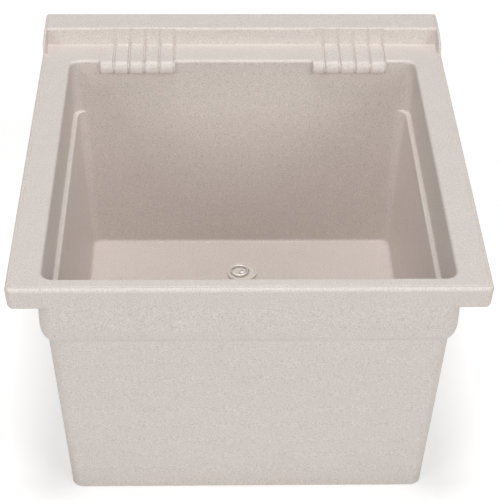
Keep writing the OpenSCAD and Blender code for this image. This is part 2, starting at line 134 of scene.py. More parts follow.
class Skin:
    """Points and faces of one closed mesh, in millimetres. Points that coincide are joined."""

    GRID = 1e-4
    AREA_WEIGHT = 80

    def __init__(self) -> None:
        """Starts empty."""
        self.points: list[Point] = []
        self.faces: list[tuple[int, ...]] = []
        self._known: dict[tuple[int, ...], int] = {}

    def corner(self, point: Point) -> int:
        """Number of a point, which is added if it is new.

        Args:
            point: The point.

        Returns:
            Its number.
        """
        key = tuple(round(v / self.GRID) for v in point)
        if key not in self._known:
            self._known[key] = len(self.points)
            self.points.append(point)
        return self._known[key]

    def face(self, corners: Sequence[int]) -> None:
        """Adds a face, unless its corners fall together.

        Args:
            corners: Point numbers in order.
        """
        kept = tuple(c for i, c in enumerate(corners) if c != corners[i - 1])
        if len(kept) > 2 and len(set(kept)) == len(kept):
            self.faces.append(kept)

    def loft(self, rows: Sequence[Row], closed: bool = False) -> None:
        """Joins each row to the next with quads.

        Args:
            rows: Rows with the same number of points.
            closed: Whether each row runs back to its start.
        """
        numbers = [[self.corner(p) for p in row] for row in rows]
        for low, high in zip(numbers, numbers[1:]):
            count = len(low)
            for i in range(count if closed else count - 1):
                j = (i + 1) % count
                self.face((low[i], low[j], high[j], high[i]))

    def stitch(self, outer: Row, inner: Row, centre: tuple[float, float]) -> None:
        """Joins two loops round one centre with triangles.

        Args:
            outer: Outer loop.
            inner: Inner loop.
            centre: Point that both go round.
        """
        a, b = self._turned(outer, centre), self._turned(inner, centre)
        i = j = 0
        while i < len(a) - 1 or j < len(b) - 1:
            step_outer = j == len(b) - 1 or (i < len(a) - 1 and a[i + 1][0] <= b[j + 1][0])
            if step_outer:
                self.face((a[i][1], a[i + 1][1], b[j][1]))
                i += 1
            else:
                self.face((a[i][1], b[j + 1][1], b[j][1]))
                j += 1

    def _turned(self, loop: Row, centre: tuple[float, float]) -> list[tuple[float, int]]:
        """Corners of a loop by their angle round a centre, with the first one again at the end.

        Args:
            loop: The loop.
            centre: Point that it goes round.

        Returns:
            Pairs of an angle and a point number.
        """
        turned = sorted({
            (math.atan2(p[1] - centre[1], p[0] - centre[0]) % math.tau, self.corner(p))
            for p in loop})
        return turned + [(turned[0][0] + math.tau, turned[0][1])]

    def build(self, name: str) -> bpy.types.Object:
        """Makes the mesh in metres, with its faces outwards and its normals weighted by area.

        Args:
            name: Name of the piece.

        Returns:
            Its object, in the scene.
        """
        mesh = bpy.data.meshes.new(name)
        mesh.from_pydata([[v * MM for v in p] for p in self.points], [], self.faces)
        work = bmesh.new()
        work.from_mesh(mesh)
        bmesh.ops.recalc_face_normals(work, faces=work.faces)
        work.to_mesh(mesh)
        work.free()
        mesh.validate()
        mesh.shade_smooth()
        obj = placed(name, mesh)
        weights = obj.modifiers.new("even_shading", "WEIGHTED_NORMAL")
        weights.mode = "FACE_AREA"
        weights.weight = self.AREA_WEIGHT
        return obj


def mark_edges(obj: bpy.types.Object, reach: float, rounds: int) -> None:
    """Stores how rounded the surface is at each point, from -1 in a crease to 1 on an edge.

    Args:
        obj: Mesh object.
        reach: Radius in metres that counts as a full edge.
        rounds: Number of times the values are evened out with their neighbours.
    """
    mesh = obj.data
    count = len(mesh.vertices)
    places = np.zeros(count * 3)
    normals = np.zeros(count * 3)
    ends = np.zeros(len(mesh.edges) * 2, np.int32)
    mesh.vertices.foreach_get("co", places)
    mesh.vertices.foreach_get("normal", normals)
    mesh.edges.foreach_get("vertices", ends)
    places, normals, ends = places.reshape(-1, 3), normals.reshape(-1, 3), ends.reshape(-1, 2)
    bend = np.zeros(count)
    share = np.zeros(count)
    for a, b in ((0, 1), (1, 0)):
        line = places[ends[:, a]] - places[ends[:, b]]
        square = np.maximum((line * line).sum(1), NO_LENGTH)
        curve = 2 * (normals[ends[:, a]] * line).sum(1) / square
        np.add.at(bend, ends[:, a], curve)
        np.add.at(share, ends[:, a], 1.0)
    value = np.clip(bend / np.maximum(share, 1) * reach, -1, 1)
    for _ in range(rounds):
        total = value.copy()
        near = np.ones(count)
        for a, b in ((0, 1), (1, 0)):
            np.add.at(total, ends[:, a], value[ends[:, b]])
            np.add.at(near, ends[:, a], 1.0)
        value = total / near
    # Materials paint edge highlights and crease shade from this roundness
    layer = mesh.attributes.new("roundness", "FLOAT", "POINT")
    layer.data.foreach_set("value", value.astype(np.float32))


@dataclass(frozen=True)
class Plan:
    """A rectangle with rounded corners, seen from above."""

    half: float
    front: float
    back: float
    radius: float


@dataclass(frozen=True)
class Line:
    """A line that runs front to back over the rear of the tub.

    Args:
        x: Its place across the tub.
        lip: Height of the rim's lip there, from the deck.
        base: Share of the ledge's own height there.
        cheek: Share of the cheek's height there.
        board: Share of a washboard's form there.
        rib: Share of a rib's height above the washboard's grooves there.
    """

    x: float
    lip: float = 0.0
    base: float = 1.0
    cheek: float = 0.0
    board: float = 0.0
    rib: float = 1.0

    def mirrored(self) -> "Line":
        """The same line on the other side."""
        return Line(-self.x, self.lip, self.base, self.cheek, self.board, self.rib)


@dataclass(frozen=True)
class Station:
    """A line that runs side to side over the rear of the tub.

    Args:
        y: Its place along the tub.
        z: Its height.
        out: Distance by which the bowl's rounded edge has opened there.
        rib: Place and height of a washboard rib's surface there.
        groove: Place and height of a groove's floor there.
    """

    y: float
    z: float
    out: float
    rib: tuple[float, float]
    groove: tuple[float, float]

    def under(self, line: Line) -> tuple[float, float]:
        """Place and height of the surface where a line crosses the station.

        Args:
            line: Line from front to back.

        Returns:
            The place and the height, washboards included.
        """
        y = mix(self.y, mix(self.groove[0], self.rib[0], line.rib), line.board)
        z = mix(self.z, mix(self.groove[1], self.rib[1], line.rib), line.board)
        return y, z


@dataclass
class TubSkin:
    """The moulded tub: rim, ledge, cheeks, washboards, bowl, shoulder and base.

    Places are measured across the tub or along it, and levels upwards. The lip's rows give a place,
    a height over the deck and a share of the cheek. The pairs of the grooves and of the board's end
    give a distance and a share of the rib's height, the throat's two shares of the way from the
    board's foot to its chin, and all other pairs two distances.
    """

    # Overall
    half_w: float = 292.0
    half_d: float = 320.0
    deck: float = 349.0
    floor: float = 45.0
    wall: float = 5.0

    # Bowl
    bowl_x: float = 250.0
    bowl_front: float = -297.0
    bowl_back: float = 222.0
    bowl_corner_r: float = 15.0
    bowl_edge_r: float = 4.0
    upper_lean: float = 1.5
    upper_levels: Sizes = (318.0, 305.0, 290.0, 278.0, 273.0)
    shelf: float = 269.0
    shelf_w: float = 7.0
    shelf_root_r: float = 2.0
    shelf_edge_r: float = 2.4
    lower_slope: float = 0.0587
    lower_levels: Sizes = (262.0, 255.0, 235.0, 200.0, 165.0, 130.0, 95.0, 65.0, 54.0)
    back_slope: float = 0.0954
    back_places: Sizes = (15.0, 45.0, 75.0, 214.5, 221.0)
    back_levels: Sizes = (325.0, 329.0, 333.0, 337.0, 341.0)
    floor_fillet_r: float = 5.0

    # Rim, lip and skirt
    front_corner_r: float = 9.0
    rear_corner_r: float = 6.0
    lip_drop: float = 5.0
    lip_places: Sizes = (262.0, 272.0, 280.0, 284.0)
    lip_groove: Pairs = ((284.8, -0.06), (285.4, -0.4), (285.8, -0.5), (286.2, -0.3))
    lip_bead: tuple[Point, ...] = (
        (286.55, 0.05, 0.93), (287.2, 0.3, 0.985), (288.2, 0.4, 1.0),
        (289.2, 0.2, 0.99), (290.1, -0.4, 0.95), (290.7, -1.1, 0.88))
    lip_side: Pairs = ((291.2, -2.0), (291.7, -3.2))
    lip_fade: float = 16.0
    bead_fade: float = 10.0
    skirt: float = 321.0
    skirt_lean: float = 1.6
    skirt_front_lean: float = 0.4
    skirt_edge_r: float = 2.6
    channel_roof: float = 344.0
    channel_corner_r: float = 5.0
    channel_sweep: float = 37.5

    # Band, shoulder, foot and the hollow under the floor
    band_x: float = 254.475
    band_front: float = -319.2
    band_levels: Sizes = (312.0, 302.0)
    shoulder: float = 264.0
    shoulder_h: float = 28.0
    shoulder_end: float = 12.0
    shoulder_root: Pairs = ((1.0, 263.9), (0.4, 263.2), (0.1, 262.0))
    front_setback: float = 9.7
    foot_levels: Sizes = (259.0, 230.0, 195.0, 160.0, 125.0, 90.0, 55.0, 25.0, 8.0, 3.0)
    foot_edge_r: float = 1.5
    foot_t: float = 4.0
    foot_bevel: float = 0.6
    hollow_levels: Sizes = (4.0, 15.0, 28.0)
    hollow_fillet_r: float = 4.0
    under_floor: float = 39.0

    # Rear deck, ledge and cheeks
    ledge_top: float = 374.0
    ledge_front: float = 273.0
    ledge_edge_r: float = 4.0
    ledge_places: Sizes = (280.0, 290.0, 300.0, 308.0, 314.0)
    face_lean: float = 4.0
    face_root_r: float = 0.8
    face_root_lean: float = 0.2
    face_root_handle: float = 0.3
    rear_levels: Sizes = (365.0, 358.0, 352.0, 348.0, 346.5, 345.5)
    rear_deck: Sizes = (230.0, 234.0, 237.0, 239.0, 239.8, 240.0, 240.3, 241.0, 242.2, 244.0, 246.5,
                        249.0, 251.0, 254.0, 258.0, 262.0)
    cheek_front: float = 240.0
    cheek_round_r: float = 11.0
    cheek_slope: float = 5.0

    # Washboards
    board_inner: float = 101.0
    board_outer: float = 208.0
    board_middle: float = 153.5
    board_deck: Sizes = (230.0, 242.0, 255.0)
    board_top: tuple[float, float] = (274.2, 372.83)
    board_end: Pairs = ((-0.6, 0.0), (0.0, 0.12), (0.6, 0.45), (1.2, 0.78), (2.0, 0.95), (3.2, 1.0))
    rib_pitch: float = 22.0
    rib_count: int = 5
    rib_h: float = 0.4
    groove_d: float = 3.1
    groove_shift: float = 1.2
    groove_set_back: float = 3.0
    groove_root: float = 1.7
    groove_steep: Pairs = ((0.9, 0.0), (1.1, 0.12), (1.3, 0.45), (1.5, 0.8), (1.9, 0.96), (2.8, 1.0))
    groove_gentle: Pairs = ((0.9, 0.0), (1.3, 0.14), (1.9, 0.45), (2.6, 0.8), (3.3, 0.96), (4.2, 1.0))
    nose_y: float = 211.0
    nose_reach: float = 10.5
    nose_fall: float = 14.5
    nose_foot: float = 328.5
    nose_foot_rise: float = 0.5
    chin_back: float = 1.6
    chin_fall: float = 1.7
    foot_handle: tuple[float, float] = (-0.3, 1.2)
    neck_back: float = 1.6
    neck_share: float = 0.5
    throat: tuple[float, float] = (0.4, 0.72)
    chin_start: tuple[float, float] = (1.2, -0.1)
    chin_handle: float = 0.4

    # Drain
    drain_y: float = 110.0
    drain_r: float = 19.5
    drain_edge: Pairs = ((3.0, 0.0), (1.0, 0.0), (0.3, -0.3), (0.0, -1.0), (0.0, -6.0))
    boss: float = 31.0
    boss_r: float = 40.0
    boss_bevel: float = 0.8
    boss_root: Pairs = ((0.0, -2.0), (0.6, -0.6), (2.0, 0.0))
    recess_r: float = 23.05
    recess_h: float = 1.0

    # Reach in metres and smoothing of the roundness that paints edge highlights and crease shade
    wear_reach: float = 0.006
    wear_rounds: int = 2

    # Heights up the ledge's front, as shares of it
    RISE = (0.25, 0.5, 0.75, 0.9)

    # Distance that counts as none, share of a side view that counts as none, and the distance that
    # the lines over the back wall keep from its corners
    NEAR = 1e-6
    SAME = 0.003
    CLEAR = 1.0

    # Numbers of intervals along the stretches of a row
    SIDE = 10
    CORNER = 16
    FRONT = 12
    REAR = 10
    TURN = 12
    SWEEP = 5
    ROUND = 64

    # Numbers of intervals over the edges and fillets
    BOWL_EDGE = 8
    LEDGE_EDGE = 6
    FACE_ROOT = 5
    NECK = 7
    CHIN = 6
    NOSE = 16
    SHELF_ROOT = 5
    SHELF_EDGE = 6
    FLOOR_FILLET = 6
    SKIRT = 3
    SKIRT_EDGE = 5
    SHOULDER = 10
    FOOT_EDGE = 4
    HOLLOW_FILLET = 5

    def back_wall(self, z: float) -> float:
        """Place of the bowl's back wall at a level."""
        return self.bowl_back - (self.deck - z) * self.back_slope

    def lip_lines(self) -> list[Line]:
        """Lines over the side rim, from the bowl's edge out to the rim's side face.

        Returns:
            The lines of the right side, from left to right.
        """
        deck = [Line(x) for x in (self.bowl_x + self.bowl_edge_r, *self.lip_places)]
        groove = [Line(x, lip) for x, lip in self.lip_groove]
        bead = [Line(x, lip, 0.0, cheek) for x, lip, cheek in self.lip_bead]
        side = [Line(x, lip, 0.0) for x, lip in (*self.lip_side, (self.half_w, -self.lip_drop))]
        return deck + groove + bead + side

    def rib_lines(self) -> list[Line]:
        """Lines over the bowl's back, from left to right, dense at each groove and board's edge.

        Returns:
            The lines between the bowl's corners.
        """
        lines = [Line(side * x) for side in (-1, 1) for x in self.back_places]
        half = self.rib_pitch / 2
        for board in (-1, 1):
            left = min(board * self.board_inner, board * self.board_outer)
            ribs = [board * (self.board_middle + (i - self.rib_count / 2 + 0.5) * self.rib_pitch)
                    for i in range(self.rib_count)]
            cuts = [rib + half - self.groove_shift for rib in sorted(ribs)]
            lines += [Line(left + out, board=share) for out, share in self.board_end]
            for cut in cuts:
                lines += [Line(cut, board=1.0, rib=0.0), Line(cut - half, board=1.0)]
                lines += [Line(cut - out, board=1.0, rib=share) for out, share in self.groove_steep]
            for cut in cuts[:-1]:
                lines += [Line(cut + out, board=1.0, rib=share) for out, share in self.groove_gentle]
            lines += [Line(cuts[-1] + out, board=1.0 - share, rib=0.0)
                      for out, share in self.groove_steep]
        return sorted(lines, key=lambda line: line.x)

    def board_path(self, depth: float) -> list[tuple[float, float]]:
        """Side view of a washboard, from its foot on the back wall, over its nose, up to the ledge.

        Args:
            depth: Distance below the ribs' surface, 0 for a rib and more for a groove's floor.

        Returns:
            Points of a place and a height.
        """
        share = depth / self.groove_d
        level = self.deck + self.rib_h - depth
        foot_z = self.nose_foot + self.nose_foot_rise * share
        foot = (self.back_wall(foot_z), foot_z)
        middle = (self.nose_y + self.nose_reach, self.deck + self.rib_h - self.nose_fall)
        reach = self.nose_reach - self.groove_set_back * share
        fall = self.nose_fall - depth
        front = middle[0] - reach
        chin = (front + self.chin_back, middle[1] - self.chin_fall)
        over_foot = (foot[0] + self.foot_handle[0], foot[1] + self.foot_handle[1])
        neck = (foot[0] - self.neck_back, mix(foot[1], chin[1], self.neck_share))
        throat = (mix(foot[0], chin[0], self.throat[0]), mix(foot[1], chin[1], self.throat[1]))
        under_chin = (chin[0] + self.chin_start[0], chin[1] + self.chin_start[1])
        path = bezier(foot, over_foot, neck, throat, self.NECK)
        path += bezier(under_chin, (chin[0] - self.chin_handle, chin[1]),
                       (front, chin[1] + self.chin_handle), (front, middle[1]), self.CHIN)
        path += [(middle[0] + reach * c, middle[1] + fall * s)
                 for c, s in waves(180, 90, self.NOSE)[1:]]
        path += [(y, level) for y in self.board_deck]
        path += self.face_root(self.ledge_front - self.face_lean + self.groove_root * share, level)
        low, top = path[-1], self.board_top
        return path + [(mix(low[0], top[0], t), mix(low[1], top[1], t)) for t in (*self.RISE, 1.0)]

    def face_root(self, root: float, level: float) -> list[tuple[float, float]]:
        """Small round where the ledge's front rises from the deck or from a washboard.

        Args:
            root: Place of the front's root.
            level: Height of the surface in front of it.

        Returns:
            The points from that surface up to the front.
        """
        r, lean = self.face_root_r, self.face_root_lean
        before, up = (root - self.face_root_handle, level), (root, level + lean)
        return bezier((root - r, level), before, up, (root + lean, level + r), self.FACE_ROOT)

    def stations(self) -> tuple[list[Station], list[Station]]:
        """Lines from side to side: first up the bowl's back wall and its edge, then over the rear.

        Returns:
            The stations below the deck, from the rib's foot up to the bowl's edge, and those
            from that edge over the deck, the ledge's front and its top to the rear face.
        """
        wall = [(self.back_wall(z), z, 0.0) for z in self.back_levels]
        edge = [(self.edge_back(a), self.edge_z(a), self.edge_out(a))
                for a in steps(90, 0, self.BOWL_EDGE)]
        deck = [(y, self.deck, self.bowl_edge_r) for y in self.rear_deck]
        r, corner_z = self.ledge_edge_r, self.ledge_top - self.ledge_edge_r
        face = self.face_root(self.ledge_front - self.face_lean, self.deck)
        low = face[-1]
        face += [(mix(low[0], self.ledge_front, t), mix(low[1], corner_z, t)) for t in self.RISE]
        front = [(self.ledge_front + r * (1 - c), corner_z + r * s)
                 for c, s in waves(0, 90, self.LEDGE_EDGE)]
        top = [(y, self.ledge_top) for y in self.ledge_places]
        rear = [(self.half_d - r * (1 - c), corner_z + r * s)
                for c, s in waves(90, 0, self.LEDGE_EDGE)]
        front_side = [(*p, self.bowl_edge_r) for p in face + front[:3]]
        ribbed = self.with_board(wall + edge + deck + front_side)
        plain = [Station(y, z, self.bowl_edge_r, (y, z), (y, z)) for y, z in front[3:] + top + rear]
        split = next(i for i, at in enumerate(ribbed) if at.out == self.bowl_edge_r)
        return ribbed[:split + 1], ribbed[split:] + plain

    def with_board(self, base: Sequence[Sequence[float]]) -> list[Station]:
        """Stations that follow the plain surface and the washboard's over it.

        Args:
            base: Places, heights and openings of the plain surface.

        Returns:
            A station for each corner of the plain surface and of a rib, at shares of their lengths.
        """
        plain = np.array(base, float)
        forms = [np.array(self.board_path(depth), float) for depth in (0.0, self.groove_d)]
        along, over_rib = shares(plain), shares(forms[0])
        extra = [t for t in over_rib if np.abs(along - t).min() > self.SAME]
        both = np.array(sorted([*along, *extra]))
        columns = [np.interp(both, along, plain[:, i]) for i in range(3)]
        for form in forms:
            columns += [np.interp(both, over_rib, form[:, i]) for i in range(2)]
        return [Station(y, z, out, (rib_y, rib_z), (groove_y, groove_z))
                for y, z, out, rib_y, rib_z, groove_y, groove_z in np.array(columns).T.tolist()]

    def edge_z(self, a: float) -> float:
        """Level on the rounded edge of the bowl, a running from 90 at the wall to 0 on the deck."""
        return self.deck - self.bowl_edge_r * (1 - wave(a)[0])

    def edge_out(self, a: float) -> float:
        """Distance from the bowl's wall on its rounded edge."""
        return self.bowl_edge_r * (1 - wave(a)[1])

    def edge_back(self, a: float) -> float:
        """Place on the rounded edge at the bowl's back, which starts with the back wall's lean."""
        lean = self.back_slope * self.bowl_edge_r * wave(a)[1] ** 2
        return self.bowl_back + self.edge_out(a) - lean

    def cheek_height(self, y: float) -> float:
        """Height of the cheeks above the deck at a place along the tub.

        Args:
            y: Place along the tub.

        Returns:
            The height, which is 0 in front of the cheeks.
        """
        full = self.ledge_top - self.deck
        turn = self.cheek_front + self.cheek_round_r
        if y < self.cheek_front - self.NEAR:
            return 0.0
        if y < turn:
            rise = math.sqrt(max(self.cheek_round_r ** 2 - (turn - y) ** 2, 0.0))
            return full - self.cheek_slope - self.cheek_round_r + rise
        return min(full, full - self.cheek_slope * (self.ledge_front - y) / (self.ledge_front - turn))

    def on_top(self, line: Line, at: Station) -> Point:
        """Point of the rear surface where a line crosses a station.

        Args:
            line: Line from front to back.
            at: Line from side to side.

        Returns:
            The point, with the rim's rear corners rounded.
        """
        y, z = at.under(line)
        rise = self.cheek_height(at.y)
        if at.y > self.half_d - self.ledge_edge_r:
            rise = min(rise, at.z - self.deck)
        lip = line.lip
        if line.base:
            lip *= min(max((self.ledge_front - at.y) / self.lip_fade, 0.0), 1.0)
        elif line.cheek:
            lip *= 1 - min(rise / self.bead_fade, 1.0)
        height = lip + line.base * (z - self.deck) + line.cheek * rise
        return self.cornered(line.x, y, self.deck + height)

    def cornered(self, x: float, y: float, z: float, inset: float = 0.0) -> Point:
        """Moves a point in a square rear corner of the rim to the rounded one.

        Args:
            x: Place across the tub.
            y: Place along the tub.
            z: Height, which stays.
            inset: Distance by which the corner is drawn in.

        Returns:
            The moved point.
        """
        r = self.rear_corner_r
        u, v = abs(x) - (self.half_w - r), y - (self.half_d - r)
        if u <= 0 or v <= 0:
            return (x, y, z)
        reach = max(u, v)
        turn = math.pi / 4 * (v / u if v <= u else 2 - u / v)
        size = reach * (r - inset) / r
        along = self.half_w - r + size * math.cos(turn)
        return (math.copysign(along, x), self.half_d - r + size * math.sin(turn), z)

    def bowl_ring(self, plan: Plan, z: float, rear: Row) -> Row:
        """A closed row round the bowl, with given points along its back, from left to right."""
        return self.rear_part(plan, z, rear, self.CORNER) + self.front_part(plan, z, 0.0)[1:-1]

    def rear_part(self, plan: Plan, z: float, rear: Row, count: int) -> Row:
        """Open row up the right side, along the rear and down the left side.

        Args:
            plan: Outline.
            z: Height.
            rear: Points along the rear, from left to right.
            count: Number of intervals in each rear corner.

        Returns:
            The row, anticlockwise.
        """
        r, cx = plan.radius, plan.half - plan.radius
        low, high = plan.front + r, plan.back - r
        row = [(plan.half, y, z) for y in steps(low, high, self.SIDE)]
        row += self.arc(cx, high, r, 0, 90, count, z)[1:]
        row += rear[::-1]
        row += self.arc(-cx, high, r, 90, 180, count, z)
        return row + [(-plan.half, y, z) for y in steps(high, low, self.SIDE)][1:]

    def front_part(self, plan: Plan, z: float, sweep: float) -> Row:
        """Open row along the front, with all or most of its two corners.

        Args:
            plan: Outline.
            z: Height.
            sweep: Part of each corner that is left out, in degrees.

        Returns:
            The row, anticlockwise.
        """
        r, cx = plan.radius, plan.half - plan.radius
        count = self.TURN - (self.SWEEP if sweep else 0)
        row = self.arc(-cx, plan.front + r, r, 180 + sweep, 270, count, z)
        row += [(x, plan.front, z) for x in steps(-cx, cx, self.FRONT)][1:]
        return row + self.arc(cx, plan.front + r, r, 270, 360 - sweep, count, z)[1:]

    @staticmethod
    def arc(x: float, y: float, r: float, start: float, end: float, count: int, z: float) -> Row:
        """Points on a level arc round x and y, from one angle in degrees to another."""
        return [(x + r * c, y + r * s, z) for c, s in waves(start, end, count)]

    def inside(self, skin: Skin, low: Sequence[Station]) -> Row:
        """Adds the bowl, from its rounded edge down to the floor.

        Args:
            skin: Mesh that is built.
            low: Stations up the back wall and over its edge.

        Returns:
            The row at the foot of the walls.
        """
        lines = self.rib_lines()
        rows = []
        for at in reversed(low):
            z, out = at.z, at.out
            lean = self.lean_above(z) if out == 0 else 0.0
            half, front = self.bowl_x + out - lean, self.bowl_front - out + lean
            plan = Plan(half, front, at.y, self.bowl_corner_r + out)
            rear = [(line.x, *at.under(line)) for line in lines]
            rows.append(self.bowl_ring(plan, z, rear))
        rows += [self.wall_ring(lean, z, inset) for lean, z, inset in self.wall_levels()]
        skin.loft(rows, closed=True)
        return rows[-1]

    def lean_above(self, z: float) -> float:
        """Lean of the side walls above the shelf."""
        return self.upper_lean * (self.deck - z) / (self.deck - self.shelf)

    def wall_ring(self, lean: float, z: float, inset: float) -> Row:
        """A closed row round the bowl below the washboards.

        Args:
            lean: Distance by which the side walls and the front wall have come in.
            z: Height.
            inset: Distance by which the fillet at the floor has come in all round.

        Returns:
            The row, with its points on the back wall kept off the corners.
        """
        both = lean + inset
        plan = Plan(self.bowl_x - both, self.bowl_front + both, self.back_wall(z) - inset,
                    self.bowl_corner_r - inset)
        end = plan.half - plan.radius - self.CLEAR
        rear = [(min(max(line.x, -end), end), plan.back, z) for line in self.rib_lines()]
        return self.bowl_ring(plan, z, rear)

    def wall_levels(self) -> list[tuple[float, float, float]]:
        """Levels of the bowl's wall below the washboards, with the shelf and the floor's fillet.

        Returns:
            Triples of the side walls' lean, the height and the fillet's inset.
        """
        root_r, edge_r, fillet_r = self.shelf_root_r, self.shelf_edge_r, self.floor_fillet_r
        levels = [(self.lean_above(z), z, 0.0) for z in self.upper_levels]
        start = self.lean_above(self.shelf + root_r)
        levels += [(start + root_r * (1 - c), self.shelf + root_r * (1 - s), 0.0)
                   for c, s in waves(0, 90, self.SHELF_ROOT)]
        out = self.upper_lean + self.shelf_w - edge_r
        levels += [(out + edge_r * s, self.shelf - edge_r * (1 - c), 0.0)
                   for c, s in waves(0, 90, self.SHELF_EDGE)]
        top, lean = self.shelf - edge_r, out + edge_r
        levels += [(lean + (top - z) * self.lower_slope, z, 0.0) for z in self.lower_levels]
        lean += (top - self.floor - fillet_r) * self.lower_slope
        levels += [(lean, self.floor + fillet_r * (1 - s), fillet_r * (1 - c))
                   for c, s in waves(0, 90, self.FLOOR_FILLET)]
        return levels

    def rim_row(self, line: Line) -> Row:
        """Row over the rim from the left side's rear, round the front, to the right side's rear.

        Args:
            line: Line over the side rim that the row follows.

        Returns:
            The row, anticlockwise.
        """
        inner, outer = self.bowl_x + self.bowl_edge_r, self.lip_groove[0][0]
        drawn = self.half_w - line.x
        share = min(max((line.x - inner) / (outer - inner), 0.0), 1.0)
        if share < 1:
            rim = self.half_w - outer
            front = mix(self.bowl_front - self.bowl_edge_r, -self.half_d + rim, share)
            r = mix(self.bowl_corner_r + self.bowl_edge_r, self.front_corner_r - rim, share)
        else:
            front, r = -self.half_d + drawn, self.front_corner_r - drawn
        return self.front_turn(Plan(line.x, front, 0.0, r), self.deck + line.lip)

    def front_turn(self, plan: Plan, z: float, front_r: float = 0.0) -> Row:
        """Open row down the left side, round the front and up the right side.

        Args:
            plan: Outline, of which the back isn't used.
            z: Height.
            front_r: Radius along the tub, where it isn't the plan's own.

        Returns:
            The row.
        """
        r = plan.radius
        ry = front_r or r
        cx, low, high = plan.half - r, plan.front + ry, self.side_end()
        turn = waves(0, 90, self.TURN)
        row = [(-plan.half, y, z) for y in steps(high, low, self.SIDE)]
        row += [(-cx - r * c, low - ry * s, z) for c, s in turn[1:]]
        row += [(x, plan.front, z) for x in steps(-cx, cx, self.FRONT)][1:]
        row += [(cx + r * c, low - ry * s, z) for c, s in turn[-2::-1]]
        return row + [(plan.half, y, z) for y in steps(low, high, self.SIDE)][1:]

    def side_end(self) -> float:
        """Place along the tub where the bowl's rear corners start."""
        return self.bowl_back - self.bowl_corner_r

    def wing_ys(self) -> list[float]:
        """Places beside the bowl's rear corners."""
        return steps(self.side_end(), self.bowl_back + self.bowl_edge_r, self.CORNER // 2)

    def over_rim(self, skin: Skin, over: Sequence[Station]) -> None:
        """Adds the deck, the lip, the washboards' tops, the ledge and the cheeks.

        Args:
            skin: Mesh that is built.
            over: Stations from the bowl's back edge to the rear face.
        """
        lips = self.lip_lines()
        skin.loft([self.rim_row(line) for line in lips])
        bend = self.bowl_corner_r + self.bowl_edge_r
        inner, back = self.bowl_x + self.bowl_edge_r, self.bowl_back + self.bowl_edge_r
        cx = inner - bend
        fan = steps(inner, cx, self.CORNER // 2)
        for side in (-1, 1):
            skin.loft([[(side * s.x, y, self.deck + s.lip) for s in lips] for y in self.wing_ys()])
            square = [(side * inner, y, self.deck) for y in self.wing_ys()]
            square += [(side * x, back, self.deck) for x in fan[1:]]
            corner = self.arc(cx, self.side_end(), bend, 0, 90, self.CORNER, self.deck)
            skin.loft([[(side * x, y, z) for x, y, z in corner], square])
        rows = [[self.on_top(line, at) for line in self.rear_lines()] for at in over]
        skin.loft(rows)
        tops = rows[-1]
        levels = [*self.rear_levels, self.deck - self.lip_drop]
        skin.loft([tops] + [[(x, y, min(top, z)) for x, y, top in tops] for z in levels])

    def rear_lines(self) -> list[Line]:
        """Lines over the whole rear.

        Returns:
            The lines, from left to right.
        """
        inner, bend = self.bowl_x + self.bowl_edge_r, self.bowl_corner_r + self.bowl_edge_r
        right = [Line(x) for x in steps(inner - bend, inner, self.CORNER // 2)] + self.lip_lines()[1:]
        left = [line.mirrored() for line in reversed(right)]
        return left + self.rib_lines() + right

    def skirt_row(self, inset: float, front_inset: float, z: float, over: Sequence[Station]) -> Row:
        """A closed row round the rim's skirt.

        Args:
            inset: Distance from the rim's side and rear faces.
            front_inset: Distance from its front face.
            z: Height.
            over: Stations over the rear, which say where the row has points.

        Returns:
            The row, anticlockwise from the rear of the left side.
        """
        plan = Plan(self.half_w - inset, -self.half_d + front_inset, 0.0, self.front_corner_r - inset)
        row = self.front_turn(plan, z, self.front_corner_r - front_inset)
        right = [(self.half_w, y) for y in self.wing_ys()[1:]]
        right += [(self.half_w, at.y) for at in over[1:]]
        rear = [(line.x, self.half_d) for line in self.rear_lines()[::-1]]
        left = [(-x, y) for x, y in reversed(right)]
        for x, y in right + rear + left:
            row.append(self.drawn_in(x, y, z, inset))
        return row[:-1] if row[-1] == row[0] else row

    def drawn_in(self, x: float, y: float, z: float, inset: float) -> Point:
        """Point of the rim's square outline at its rear, drawn in and rounded at the corner.

        Args:
            x: Place across the tub.
            y: Place along the tub.
            z: Height.
            inset: Distance from the rim's faces.

        Returns:
            The point.
        """
        r = self.rear_corner_r
        if abs(x) > self.half_w - r and y > self.half_d - r:
            return self.cornered(x, y, z, inset)
        if abs(x) >= self.half_w - self.NEAR:
            return (math.copysign(self.half_w - inset, x), y, z)
        return (x, self.half_d - inset, z)

    def under_rim(self, skin: Skin, over: Sequence[Station]) -> None:
        """Adds the skirt, its lower edge and the channel behind it.

        Args:
            skin: Mesh that is built.
            over: Stations over the rear.
        """
        lip_foot = self.deck - self.lip_drop
        lean, front_lean, r = self.skirt_lean, self.skirt_front_lean, self.skirt_edge_r
        rows = [self.skirt_row(lean * t, front_lean * t, mix(lip_foot, self.skirt + r, t), over)
                for t in steps(0, 1, self.SKIRT)]
        rows += [self.skirt_row(lean + r * (1 - c), front_lean, self.skirt + r * (1 - s), over)
                 for c, s in waves(0, 90, self.SKIRT_EDGE)[1:]]
        skin.loft(rows, closed=True)
        wall = lean + self.wall
        channel_front = self.band_front + self.bowl_corner_r * (1 - wave(self.channel_sweep)[1])
        band = self.band_plan(self.skirt)
        outer = Plan(self.half_w - wall, channel_front, self.half_d - wall, self.channel_corner_r)
        inner_low = self.u_row(band, self.channel_sweep, self.skirt)
        inner_high = self.u_row(band, self.channel_sweep, self.channel_roof)
        outer_high = self.u_row(outer, 90, self.channel_roof)
        outer_low = self.u_row(outer, 90, self.skirt)
        channel = [inner_low, inner_high, outer_high, outer_low]
        skin.loft(channel)
        for end in (0, -1):
            skin.face([skin.corner(row[end]) for row in channel])
        front = self.front_part(band, self.skirt, self.channel_sweep)
        skin.stitch(rows[-1], outer_low + front, (0.0, 0.0))

